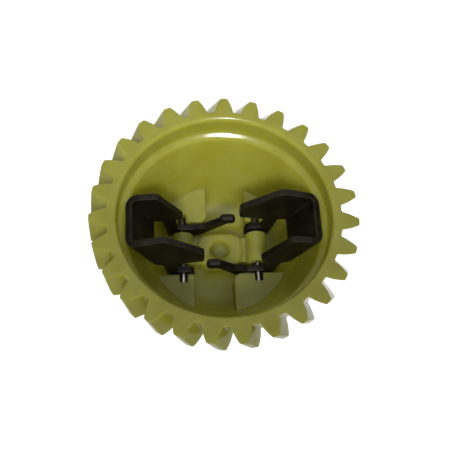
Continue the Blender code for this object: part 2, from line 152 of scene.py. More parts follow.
def turned(profile: Sequence[Vector], steps: int) -> BMesh:
    """Turn a profile once round Z.

    Args:
        profile: Points of (radius, height), from axis to axis.
        steps: How many steps the full turn takes.

    Returns:
        The closed mesh.
    """
    bm = bmesh.new()
    verts = [bm.verts.new((radius, 0.0, height)) for radius, height in profile]
    edges = [bm.edges.new(pair) for pair in zip(verts, verts[1:])]
    bmesh.ops.spin(
        bm,
        geom=[*verts, *edges],
        cent=(0.0, 0.0, 0.0),
        axis=(0.0, 0.0, 1.0),
        angle=math.tau,
        steps=steps,
        use_merge=True,
        use_duplicate=False,
    )
    return outward(bm)


def plate(outline: Sequence[Vector], y_low: float, y_high: float) -> BMesh:
    """Extrude an outline along Y.

    Args:
        outline: Points of (x, z).
        y_low: Where the plate starts.
        y_high: Where it ends.

    Returns:
        The closed mesh.
    """
    bm = bmesh.new()
    face = bm.faces.new([bm.verts.new((x, y_low, z)) for x, z in outline])
    made = bmesh.ops.extrude_face_region(bm, geom=[face], use_keep_orig=True)
    moved = [item for item in made["geom"] if isinstance(item, bmesh.types.BMVert)]
    bmesh.ops.translate(bm, verts=moved, vec=(0.0, y_high - y_low, 0.0))
    return outward(bm)


def rod_along_y(radius: float, y_low: float, y_high: float, x: float, z: float, segments: int) -> BMesh:
    """Make a cylinder along Y.

    Args:
        radius: Its radius.
        y_low: Where it starts.
        y_high: Where it ends.
        x: Where its axis is.
        z: How high its axis is.
        segments: How many sides it has.

    Returns:
        The closed mesh.
    """
    bm = bmesh.new()
    middle = Matrix.Translation((x, (y_low + y_high) / 2, z))
    bmesh.ops.create_cone(
        bm,
        cap_ends=True,
        segments=segments,
        radius1=radius,
        radius2=radius,
        depth=y_high - y_low,
        matrix=middle @ Matrix.Rotation(math.pi / 2, 4, "X"),
    )
    return bm


def box(low: Point, high: Point) -> BMesh:
    """Make a box between two corners.

    Args:
        low: The lowest corner.
        high: The highest corner.

    Returns:
        The closed mesh.
    """
    bm = bmesh.new()
    size = Vector(high) - Vector(low)
    middle = (Vector(high) + Vector(low)) / 2
    bmesh.ops.create_cube(bm, size=1.0, matrix=Matrix.Translation(middle) @ Matrix.Diagonal((*size, 1.0)))
    return bm


def upright_edges(bm: BMesh, test: Callable[[Vector], bool]) -> list[BMEdge]:
    """Find the edges along Z whose middle passes a test.

    Args:
        bm: The mesh.
        test: Takes an edge's middle and says whether the edge counts.

    Returns:
        The edges found.
    """
    found = []
    for edge in bm.edges:
        first, second = (vert.co for vert in edge.verts)
        if (first - second).xy.length < MERGE and test((first + second) / 2):
            found.append(edge)
    return found


def level_edges(bm: BMesh, height: float) -> list[BMEdge]:
    """Find the sharp edges that lie at one height.

    Args:
        bm: The mesh.
        height: How high the edges lie.

    Returns:
        The edges found.
    """
    return [
        edge
        for edge in bm.edges
        if all(abs(vert.co.z - height) < MERGE for vert in edge.verts)
        and len(edge.link_faces) == 2
        and edge.calc_face_angle() > EDGE_ANGLE
    ]


def edges_across_y(bm: BMesh, above: float = -math.inf) -> list[BMEdge]:
    """Find the edges that lie square to Y.

    Args:
        bm: The mesh.
        above: Edges that don't reach higher than this are left out.

    Returns:
        The edges found.
    """
    found = []
    for edge in bm.edges:
        first, second = (vert.co for vert in edge.verts)
        if abs(first.y - second.y) < MERGE and max(first.z, second.z) > above:
            found.append(edge)
    return found


def mesh_from(name: str, bm: BMesh) -> bpy.types.Mesh:
    """Turn a working mesh into one of the scene's meshes.

    Args:
        name: The new mesh's name.
        bm: The working mesh, which is used up.

    Returns:
        The new mesh.
    """
    mesh = bpy.data.meshes.new(name)
    bm.to_mesh(mesh)
    bm.free()
    return mesh


def put_in_scene(name: str, data: bpy.types.ID) -> bpy.types.Object:
    """Make an object and link it into the scene.

    Args:
        name: The object's name.
        data: Its mesh, lamp or camera.

    Returns:
        The object.
    """
    obj = bpy.data.objects.new(name, data)
    bpy.context.scene.collection.objects.link(obj)
    return obj


def with_modifiers(obj: bpy.types.Object) -> BMesh:
    """Work out an object's mesh with its modifiers applied.

    Args:
        obj: The object, which stays as it is.

    Returns:
        The result as a working mesh.
    """
    bpy.context.view_layer.update()
    graph = bpy.context.evaluated_depsgraph_get()
    mesh = bpy.data.meshes.new_from_object(obj.evaluated_get(graph))
    bm = bmesh.new()
    bm.from_mesh(mesh)
    bpy.data.meshes.remove(mesh)
    return bm


class Sculpture:
    """A body that is changed by helper solids with exact Booleans, and then baked to one mesh."""

    def __init__(self, name: str, bm: BMesh) -> None:
        """Start from one solid.

        Args:
            name: The name of the finished mesh.
            bm: The first solid, which is used up.
        """
        self.name = name
        self.helpers: list[bpy.types.Object] = []
        self.body = self._object(name, bm)

    def _object(self, name: str, bm: BMesh) -> bpy.types.Object:
        """Put a solid in the scene under a name, and return its object."""
        return put_in_scene(name, mesh_from(name, outward(bm)))

    def apply(self, operation: Operation, bm: BMesh) -> Sculpture:
        """Change the body with a helper solid.

        Args:
            operation: What the helper does to the body.
            bm: The helper solid, which is used up.

        Returns:
            This sculpture, so that calls can be chained.
        """
        helper = self._object(f"{self.name} helper", bm)
        self.helpers.append(helper)
        modifier = self.body.modifiers.new(operation.name.lower(), "BOOLEAN")
        modifier.operation = operation.value
        modifier.solver = "EXACT"
        modifier.object = helper
        return self

    def baked(self) -> BMesh:
        """Apply everything and remove the working objects.

        Returns:
            The finished mesh.
        """
        bm = with_modifiers(self.body)
        for obj in [self.body, *self.helpers]:
            bpy.data.objects.remove(obj, do_unlink=True)
        return outward(bm)


@dataclass(frozen=True)
class Grain:
    """A noise pattern: how fine it is per metre, its octaves, and the part of its range that is used."""

    scale: float
    detail: float
    roughness: float = 0.55
    low: float = 0.0
    high: float = 1.0


@dataclass(frozen=True)
class Relief:
    """A fine relief: its pattern, how high it is in metres, and how much of it is used."""

    grain: Grain
    distance: float
    strength: float


class NodeSheet:
    """The node tree of a material or the world, with short calls for the nodes used here."""

    def __init__(self, owner: bpy.types.Material | bpy.types.World) -> None:
        """Turn on the owner's nodes.

        Args:
            owner: The material or the world.
        """
        owner.use_nodes = True
        self.tree = owner.node_tree

    def fill(self, node: bpy.types.Node, inputs: Inputs) -> bpy.types.Node:
        """Set or link a node's inputs.

        Args:
            node: The node.
            inputs: The value of each input, or the socket that gives it.

        Returns:
            The same node.
        """
        for key, given in inputs.items():
            if isinstance(given, Socket):
                self.tree.links.new(given, node.inputs[key])
            else:
                node.inputs[key].default_value = given
        return node

    def add(self, kind: str, inputs: Inputs) -> bpy.types.Node:
        """Add a node and fill its inputs."""
        return self.fill(self.tree.nodes.new(kind), inputs)

    def calculate(self, operation: str, first: Socket, second: Socket | float) -> Socket:
        """Combine two values.

        Args:
            operation: What is done with them, such as ADD.
            first: The first value.
            second: The second value.

        Returns:
            The socket with the result.
        """
        node = self.add("ShaderNodeMath", {0: first, 1: second})
        node.operation = operation
        return node.outputs[0]

    def span(self, source: Socket, low: float, high: float, to: tuple[float, float]) -> Socket:
        """Map a value's range to another one.

        Args:
            source: The value.
            low: What gives the first end.
            high: What gives the second end.
            to: The two ends.

        Returns:
            The socket with the mapped value.
        """
        inputs = {"Value": source, "From Min": low, "From Max": high, "To Min": to[0], "To Max": to[1]}
        return self.add("ShaderNodeMapRange", inputs).outputs["Result"]

    def is_seen(self) -> Socket:
        """Find what the camera sees, itself or in a reflection.

        Returns:
            The socket with 1 for what is seen, and 0 for diffuse light.
        """
        path = self.add("ShaderNodeLightPath", {}).outputs
        seen = path["Is Camera Ray"]
        for name in ("Is Glossy Ray", "Is Transmission Ray"):
            seen = self.calculate("MAXIMUM", seen, path[name])
        return seen


class FinishSheet(NodeSheet):
    """The nodes of a finish, with its textures in object space."""

    def __init__(self, name: str) -> None:
        """Make the material.

        Args:
            name: The material's name.
        """
        self.material = bpy.data.materials.new(name)
        super().__init__(self.material)
        self.place = self.add("ShaderNodeTexCoord", {}).outputs["Object"]

    def noise(self, grain: Grain) -> Socket:
        """Add a noise texture.

        Args:
            grain: The pattern.

        Returns:
            The socket that gives its value, over its whole range.
        """
        inputs = {"Scale": grain.scale, "Detail": grain.detail, "Roughness": grain.roughness}
        return self.add("ShaderNodeTexNoise", {"Vector": self.place, **inputs}).outputs["Fac"]

    def pattern(self, grain: Grain, to: tuple[float, float] = (0.0, 1.0)) -> Socket:
        """Add a noise texture whose used range is spread between two ends."""
        return self.span(self.noise(grain), grain.low, grain.high, to)

    def mix(self, factor: Socket, below: Socket | Colour, above: Colour) -> Socket:
        """Mix a colour with a plain one.

        Args:
            factor: How much of the plain colour shows, from 0 to 1.
            below: The colour at 0, or the socket that gives it.
            above: The plain colour, at 1.

        Returns:
            The socket with the mixed colour.
        """
        node = self.add("ShaderNodeMix", {})
        node.data_type = "RGBA"
        first, second = (index for index, socket in enumerate(node.inputs) if socket.type == "RGBA")
        under = (*below, 1.0) if isinstance(below, tuple) else below
        self.fill(node, {0: factor, first: under, second: (*above, 1.0)})
        return next(socket for socket in node.outputs if socket.type == "RGBA")

    def finished(self, inputs: Inputs, relief: Relief) -> bpy.types.Material:
        """Fill the shader's inputs and give it a fine relief.

        Args:
            inputs: The value of each input, or the socket that gives it.
            relief: The relief.

        Returns:
            The material.
        """
        height = {"Height": self.noise(relief.grain)}
        sizes = {"Distance": relief.distance, "Strength": relief.strength}
        normal = self.add("ShaderNodeBump", {**height, **sizes}).outputs["Normal"]
        self.fill(self.tree.nodes["Principled BSDF"], {**inputs, "Normal": normal})
        return self.material


@dataclass(frozen=True)
class NylonFinish:
    """Moulded yellow-green nylon: semi-gloss, slightly milky and translucent."""

    light: Colour = (0.51, 0.505, 0.082)
    dark: Colour = (0.46, 0.445, 0.056)
    roughness: tuple[float, float] = (0.10, 0.17)
    dullness: float = 0.42
    dull_below: float = 0.006
    glossy_above: float = 0.015
    ior: float = 1.53
    sheen: float = 0.26
    glow: float = 1.0
    glow_reach: tuple[float, float, float] = (0.006, 0.0056, 0.0014)
    clouds: Grain = Grain(170.0, 3.0, low=0.35, high=0.65)
    patches: Grain = Grain(420.0, 4.0, low=0.3, high=0.7)
    relief: Relief = Relief(Grain(900.0, 5.0, 0.6), distance=0.00002, strength=0.18)

    def build(self) -> bpy.types.Material:
        """Make the material, which is duller deep in the bowl.

        Returns:
            The material.
        """
        sheet = FinishSheet("olive yellow nylon")
        height = sheet.add("ShaderNodeSeparateXYZ", {0: sheet.place}).outputs["Z"]
        depth = sheet.span(height, self.dull_below, self.glossy_above, (self.dullness, 0.0))
        inputs = {
            "Base Color": sheet.mix(sheet.pattern(self.clouds), self.light, self.dark),
            "Roughness": sheet.calculate("ADD", sheet.pattern(self.patches, self.roughness), depth),
            "IOR": self.ior,
            "Specular IOR Level": self.sheen,
            "Subsurface Weight": self.glow,
            "Subsurface Radius": self.glow_reach,
            "Subsurface Scale": 1.0,
        }
        return sheet.finished(inputs, self.relief)


@dataclass(frozen=True)
class BlackMetalFinish:
    """Blackened metal with a satin sheen and lighter, worn edges."""

    dark: Colour = (0.006, 0.0052, 0.003)
    brown: Colour = (0.028, 0.021, 0.011)
    worn: Colour = (0.14, 0.12, 0.10)
    wear: float = 0.3
    wear_from: float = 0.25
    metallic: float = 0.1
    sheen: float = 0.14
    roughness: tuple[float, float] = (0.34, 0.52)
    clouds: Grain = Grain(260.0, 5.0, 0.65, low=0.35, high=0.7)
    patches: Grain = Grain(520.0, 5.0, 0.6, low=0.3, high=0.7)
    relief: Relief = Relief(Grain(1500.0, 6.0, 0.65), distance=0.00005, strength=0.5)

    def build(self) -> bpy.types.Material:
        """Make the material.

        Returns:
            The material.
        """
        sheet = FinishSheet("black weight metal")
        exposed = sheet.add("ShaderNodeAttribute", {})
        exposed.attribute_name = WEAR
        edge = sheet.span(exposed.outputs["Fac"], self.wear_from, 1.0, (0.0, self.wear))
        base = sheet.mix(sheet.pattern(self.clouds), self.dark, self.brown)
        inputs = {
            "Base Color": sheet.mix(edge, base, self.worn),
            "Roughness": sheet.pattern(self.patches, self.roughness),
            "Metallic": self.metallic,
            "Specular IOR Level": self.sheen,
        }
        return sheet.finished(inputs, self.relief)


@dataclass(frozen=True)
class SteelFinish:
    """Ground steel of the pins, with faint marks."""

    bright: Colour = (0.12, 0.115, 0.10)
    dull: Colour = (0.05, 0.048, 0.04)
    roughness: tuple[float, float] = (0.28, 0.42)
    clouds: Grain = Grain(700.0, 4.0, low=0.4, high=0.7)
    patches: Grain = Grain(1600.0, 4.0, low=0.3, high=0.7)
    relief: Relief = Relief(Grain(2600.0, 3.0), distance=0.00002, strength=0.3)

    def build(self) -> bpy.types.Material:
        """Make the material.

        Returns:
            The material.
        """
        sheet = FinishSheet("pin steel")
        inputs = {
            "Base Color": sheet.mix(sheet.pattern(self.clouds), self.bright, self.dull),
            "Roughness": sheet.pattern(self.patches, self.roughness),
            "Metallic": 1.0,
        }
        return sheet.finished(inputs, self.relief)


@dataclass(frozen=True)
class Shown:
    """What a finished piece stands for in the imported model."""

    name: str
    node: str
    body: str
    slot: str


def finish_piece(
    shown: Shown, bm: BMesh, material: bpy.types.Material, sharp_angle: float
) -> bpy.types.Object:
    """Turn a mesh into a piece of the object.

    Args:
        shown: The piece's name and what it stands for.
        bm: The finished mesh, which is used up.
        material: Its finish.
        sharp_angle: Edges sharper than this stay sharp.

    Returns:
        The piece.
    """
    mesh = mesh_from(shown.name, bm)
    mesh.shade_smooth()
    mesh.set_sharp_from_angle(angle=sharp_angle)
    mesh.materials.append(material)
    piece = put_in_scene(shown.name, mesh)
    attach(piece, shown.body)
    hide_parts(shown.node)
    LOG.info("%s: %d faces", shown.name, len(mesh.polygons))
    return piece


@dataclass
class ToothedDisc:
    """The helical teeth as a full disc, with rounded tips, roots and face edges."""

    front: float
    count: int = 27
    tip_radius: float = 0.0278
    root_radius: float = 0.02424
    pitch_radius: float = 0.02602
    base_radius: float = 0.02385
    thickness: float = 0.00314
    face_width: float = 0.0045
    helix: float = math.radians(30.2)
    phase: float = math.radians(-5.7)
    flank_points: int = 7
    tip_round: float = 0.00028
    root_round: float = 0.00045
    corner_steps: int = 4
    layers: int = 12
    edge_round: float = 0.0002
    edge_segments: int = 3

    def _half_angle(self, radius: float) -> float:
        """Work out half the angle that a tooth takes up.

        Args:
            radius: How far from the gear's axis.

        Returns:
            The angle.
        """

        def involute(at: float) -> float:
            """The involute function for the teeth's base circle."""
            pressure = math.acos(min(1.0, self.base_radius / at))
            return math.tan(pressure) - pressure

        at_pitch = self.thickness / (2 * self.pitch_radius)
        return at_pitch + involute(self.pitch_radius) - involute(radius)

    def _outline(self) -> list[Vector]:
        """Draw all the teeth.

        Returns:
            Their closed outline, as (x, y) points.
        """
        rise = (self.tip_radius - self.root_radius) / (self.flank_points - 1)
        radii = [self.root_radius + rise * step for step in range(self.flank_points)]
        rounds = [self.root_round, *[0.0] * (self.flank_points - 2), self.tip_round]
        corners: list[Corner] = []
        for tooth in range(self.count):
            middle = self.phase + tooth * math.tau / self.count
            rising = [
                (radius, middle - self._half_angle(radius), blend) for radius, blend in zip(radii, rounds)
            ]
            falling = [(radius, 2 * middle - angle, blend) for radius, angle, blend in reversed(rising)]
            top = (self.tip_radius, middle, 0.0)
            gap = (self.root_radius, middle + math.pi / self.count, 0.0)
            for radius, angle, blend in [*rising, top, *falling, gap]:
                corners.append((radius * math.cos(angle), radius * math.sin(angle), blend))
        return rounded_outline(corners, self.corner_steps)

    def build(self) -> BMesh:
        """Make the disc.

        Returns:
            The closed mesh.
        """
        bm = bmesh.new()
        face = bm.faces.new([bm.verts.new((x, y, self.front)) for x, y in self._outline()])
        twist = self.face_width * math.tan(self.helix) / self.pitch_radius
        bmesh.ops.spin(
            bm,
            geom=[face, *face.edges, *face.verts],
            cent=(0.0, 0.0, 0.0),
            axis=(0.0, 0.0, 1.0),
            dvec=(0.0, 0.0, -self.face_width / self.layers),
            angle=twist,
            steps=self.layers,
            use_duplicate=False,
        )
        openings = [edge for edge in bm.edges if edge.is_boundary]
        bmesh.ops.holes_fill(bm, edges=openings, sides=0)
        outward(bm)
        ends = level_edges(bm, self.front) + level_edges(bm, self.front - self.face_width)
        bevel_edges(bm, ends, self.edge_round, self.edge_segments)
        return bm


@dataclass
class GovernorGear:
    """The moulded gear: toothed rim, bowl, hub pad, bosses and blocks."""

    front: float = 0.0252
    rim_edge_radius: float = 0.0229
    rim_edge_drop: float = 0.0010
    step_radius: float = 0.0222
    step_depth: float = 0.0048
    ledge_round: float = 0.0006
    wall_top_radius: float = 0.02072
    wall_top_depth: float = 0.0053
    wall_top_round: float = 0.0012
    wall_lean: float = math.radians(22.8)
    wall_thickness: float = 0.0019
    floor: float = 0.0022
    floor_fillet: float = 0.0041
    back_fillet: float = 0.0050
    face_width: float = 0.0045
    hub_size: tuple[float, float] = (0.0104, 0.0080)
    hub_rise: float = 0.0038
    hub_corner: float = 0.0028
    recess_radius: float = 0.0021
    recess_depth: float = 0.0020
    recess_round: float = 0.0008
    recess_fillet: float = 0.0012
    hub_edge_round: float = 0.0008
    bore_radius: float = 0.0030
    bore_depth: float = 0.0030
    bore_chamfer: float = 0.0004
    pin_reach: float = 0.0083
    boss_radius: float = 0.0024
    boss_length: float = 0.0071
    bridge_rise: float = 0.0032
    block_rise: float = 0.0051
    block_start: float = 0.0063
    block_finger_side: float = 0.0028
    block_finger_corner: float = 0.0018
    block_plain_side: float = 0.0060
    block_plain_corner: float = 0.0006
    block_wall_share: float = 0.5
    edge_round: float = 0.0003
    edge_steps: int = 3
    hub_edge_steps: int = 5
    boss_edge_steps: int = 2
    hole_steps: int = 40
    turn_steps: int = 240
    arc_steps: int = 8
    sharp_angle: float = math.radians(38.0)
    finish: NylonFinish = field(default_factory=NylonFinish)

    def _at(self, depth: float) -> float:
        """Height of a point this deep below the front face."""
        return self.front - depth

    def _wall_radius(self, depth: float) -> float:
        """Radius of the bowl's inner wall at a depth."""
        return self.wall_top_radius - (depth - self.wall_top_depth) * math.tan(self.wall_lean)

    def _rolled_edge(self, radius: float, height: float, reach: float, drop: float) -> list[Corner]:
        """Draw an edge that rolls over from a level face into a hollow.

        Args:
            radius: Where the rounding starts on the face.
            height: How high the face is.
            reach: How far in the rounding goes.
            drop: How far down it goes.

        Returns:
            Its points, as corners that need no more rounding.
        """
        angles = [math.pi / 2 * step / self.arc_steps for step in range(self.arc_steps + 1)]
        return [
            (radius - reach * math.sin(angle), height - drop * (1 - math.cos(angle)), 0.0)
            for angle in angles
        ]

    def _half_round(self, x: float, radius: float, way: int, steps: int) -> list[Vector]:
        """Draw half a circle round a pin's axis, from its low-X side to its high-X side.

        Args:
            x: Where the axis is.
            radius: The circle's radius.
            way: -1 to pass over the axis, or 1 to pass under it.
            steps: How many straight steps it takes.

        Returns:
            Its points, as (x, z).
        """
        angles = [math.pi * (1 + way * step / steps) for step in range(steps + 1)]
        return [
            Vector((x + radius * math.cos(angle), PIN_HEIGHT + radius * math.sin(angle))) for angle in angles
        ]

    def _cavity(self) -> BMesh:
        """Make the bowl's hollow.

        Returns:
            The closed mesh to cut with.
        """
        top = self._at(-OVERLAP)
        reach = self.rim_edge_radius - self.step_radius
        corners: list[Corner] = [
            (0.0, top, 0.0),
            (self.rim_edge_radius, top, 0.0),
            *self._rolled_edge(self.rim_edge_radius, self.front, reach, self.rim_edge_drop),
            (self.step_radius, self._at(self.step_depth), self.ledge_round),
            (self.wall_top_radius, self._at(self.wall_top_depth), self.wall_top_round),
            (self._wall_radius(self.front - self.floor), self.floor, self.floor_fillet),
            (0.0, self.floor, 0.0),
        ]
        return turned(rounded_outline(corners, self.arc_steps), self.turn_steps)

    def _filled_bowl(self, share: float) -> BMesh:
        """Make the bowl as a full solid.

        Args:
            share: How much of the wall's and the floor's thickness it has.

        Returns:
            The closed mesh.
        """
        top_depth = self.face_width - OVERLAP
        out = share * self.wall_thickness / math.cos(self.wall_lean)
        bottom = self.floor * (1 - share)
        corners: list[Corner] = [
            (0.0, self._at(top_depth), 0.0),
            (self._wall_radius(top_depth) + out, self._at(top_depth), 0.0),
            (self._wall_radius(self.front - bottom) + out, bottom, self.back_fillet),
            (0.0, bottom, 0.0),
        ]
        return turned(rounded_outline(corners, self.arc_steps), self.turn_steps)

    def _hub_pad(self) -> BMesh:
        """Make the raised pad, with rounded corners and a rounded top edge.

        Returns:
            The closed mesh.
        """
        length, width = self.hub_size
        top = self.floor + self.hub_rise
        bm = box((-length / 2, -width / 2, self.floor - OVERLAP), (length / 2, width / 2, top))
        bevel_edges(bm, upright_edges(bm, lambda middle: True), self.hub_corner, self.arc_steps)
        bevel_edges(bm, level_edges(bm, top), self.hub_edge_round, self.hub_edge_steps)
        return bm

    def _bridge(self) -> BMesh:
        """Make the low web that joins both bosses to the hub pad.

        Returns:
            The closed mesh.
        """
        reach = PIN_OFFSET - self.boss_radius / 2
        half_width = self.boss_length / 2 - OVERLAP / 2
        top = self.floor + self.bridge_rise
        bm = box((-reach, -half_width, self.floor - OVERLAP), (reach, half_width, top))
        bevel_edges(bm, level_edges(bm, top), self.edge_round, self.edge_steps)
        return bm

    def _boss(self, side: int) -> BMesh:
        """Make the boss with a rounded top along one of the pins.

        Args:
            side: -1 for the left pin, or 1 for the right one.

        Returns:
            The closed mesh.
        """
        x = side * PIN_OFFSET
        foot = self.floor - OVERLAP
        half = self.boss_length / 2
        outline = [
            Vector((x - self.boss_radius, foot)),
            *self._half_round(x, self.boss_radius, -1, 3 * self.arc_steps),
            Vector((x + self.boss_radius, foot)),
        ]
        bm = plate(outline, -half, half)
        bevel_edges(bm, edges_across_y(bm, foot + MERGE), self.edge_round / 2, self.boss_edge_steps)
        return bm

    def _block(self, side: int, end: int) -> BMesh:
        """Make a flat-topped block that reaches from beside the cheeks into the bowl's wall.

        Args:
            side: -1 for the left pin, or 1 for the right one.
            end: -1 for the pin's end towards -Y, or 1 for the other one.

        Returns:
            The closed mesh.
        """
        has_finger = side * end < 0
        start = self.block_finger_side if has_finger else self.block_plain_side
        radius = self.block_finger_corner if has_finger else self.block_plain_corner
        far = self.wall_top_radius
        low_x, high_x = sorted((side * start, side * far))
        low_y, high_y = sorted((end * self.block_start, end * far))
        top = self.floor + self.block_rise
        bm = box((low_x, low_y, self.floor - OVERLAP), (high_x, high_y, top))
        corner = Vector((side * start, end * self.block_start))
        inner = upright_edges(bm, lambda middle: (middle.xy - corner).length < MERGE)
        bevel_edges(bm, inner, radius, self.arc_steps)
        bevel_edges(bm, level_edges(bm, top), self.edge_round, self.edge_steps)
        kept = self._filled_bowl(self.block_wall_share)
        return Sculpture("block", bm).apply(Operation.KEEP, kept).baked()

    def _groove(self, side: int, end: int) -> BMesh:
        """Make the open-topped groove for one end of a pin.

        Args:
            side: -1 for the left pin, or 1 for the right one.
            end: -1 for the pin's end towards -Y, or 1 for the other one.

        Returns:
            The closed mesh to cut with.
        """
        x = side * PIN_OFFSET
        top = self.floor + self.block_rise + OVERLAP
        outline = [
            Vector((x + HOLE_RADIUS, top)),
            Vector((x - HOLE_RADIUS, top)),
            *self._half_round(x, HOLE_RADIUS, 1, 2 * self.arc_steps),
        ]
        low_y, high_y = sorted((end * (self.block_start - PIN_CLEARANCE), end * self.pin_reach))
        return plate(outline, low_y, high_y)

    def _recess(self) -> BMesh:
        """Make the round recess in the hub pad.

        Returns:
            The closed mesh to cut with.
        """
        mouth = self.floor + self.hub_rise
        wide = self.recess_radius + self.recess_round
        deep = mouth - self.recess_depth
        corners: list[Corner] = [
            (0.0, mouth + OVERLAP, 0.0),
            (wide, mouth + OVERLAP, 0.0),
            *self._rolled_edge(wide, mouth, self.recess_round, self.recess_round),
            (self.recess_radius, deep, self.recess_fillet),
            (0.0, deep, 0.0),
        ]
        return turned(rounded_outline(corners, self.arc_steps), self.turn_steps // 3)

    def _bore(self) -> BMesh:
        """Make the blind bore in the back.

        Returns:
            The closed mesh to cut with.
        """
        wide = self.bore_radius + self.bore_chamfer
        profile = [
            Vector((0.0, self.bore_depth)),
            Vector((self.bore_radius, self.bore_depth)),
            Vector((self.bore_radius, self.bore_chamfer)),
            Vector((wide, 0.0)),
            Vector((wide, -OVERLAP)),
            Vector((0.0, -OVERLAP)),
        ]
        return turned(profile, self.turn_steps // 2)

    def build(self, shown: Shown) -> bpy.types.Object:
        """Make the gear.

        Args:
            shown: What the piece stands for.

        Returns:
            The finished piece.
        """
        work = Sculpture(shown.name, self._filled_bowl(1.0))
        work.apply(Operation.ADD, ToothedDisc(self.front, face_width=self.face_width).build())
        work.apply(Operation.CUT, self._cavity())
        work.apply(Operation.ADD, self._hub_pad()).apply(Operation.ADD, self._bridge())
        for side in (-1, 1):
            work.apply(Operation.ADD, self._boss(side))
            for end in (-1, 1):
                work.apply(Operation.ADD, self._block(side, end))
        reach = self.boss_length / 2 + OVERLAP
        for side in (-1, 1):
            hole = rod_along_y(HOLE_RADIUS, -reach, reach, side * PIN_OFFSET, PIN_HEIGHT, self.hole_steps)
            work.apply(Operation.CUT, hole)
            for end in (-1, 1):
                work.apply(Operation.CUT, self._groove(side, end))
        work.apply(Operation.CUT, self._recess()).apply(Operation.CUT, self._bore())
        piece = finish_piece(shown, work.baked(), self.finish.build(), self.sharp_angle)
        weighted = piece.modifiers.new("weighted normals", "WEIGHTED_NORMAL")
        weighted.keep_sharp = True
        return piece


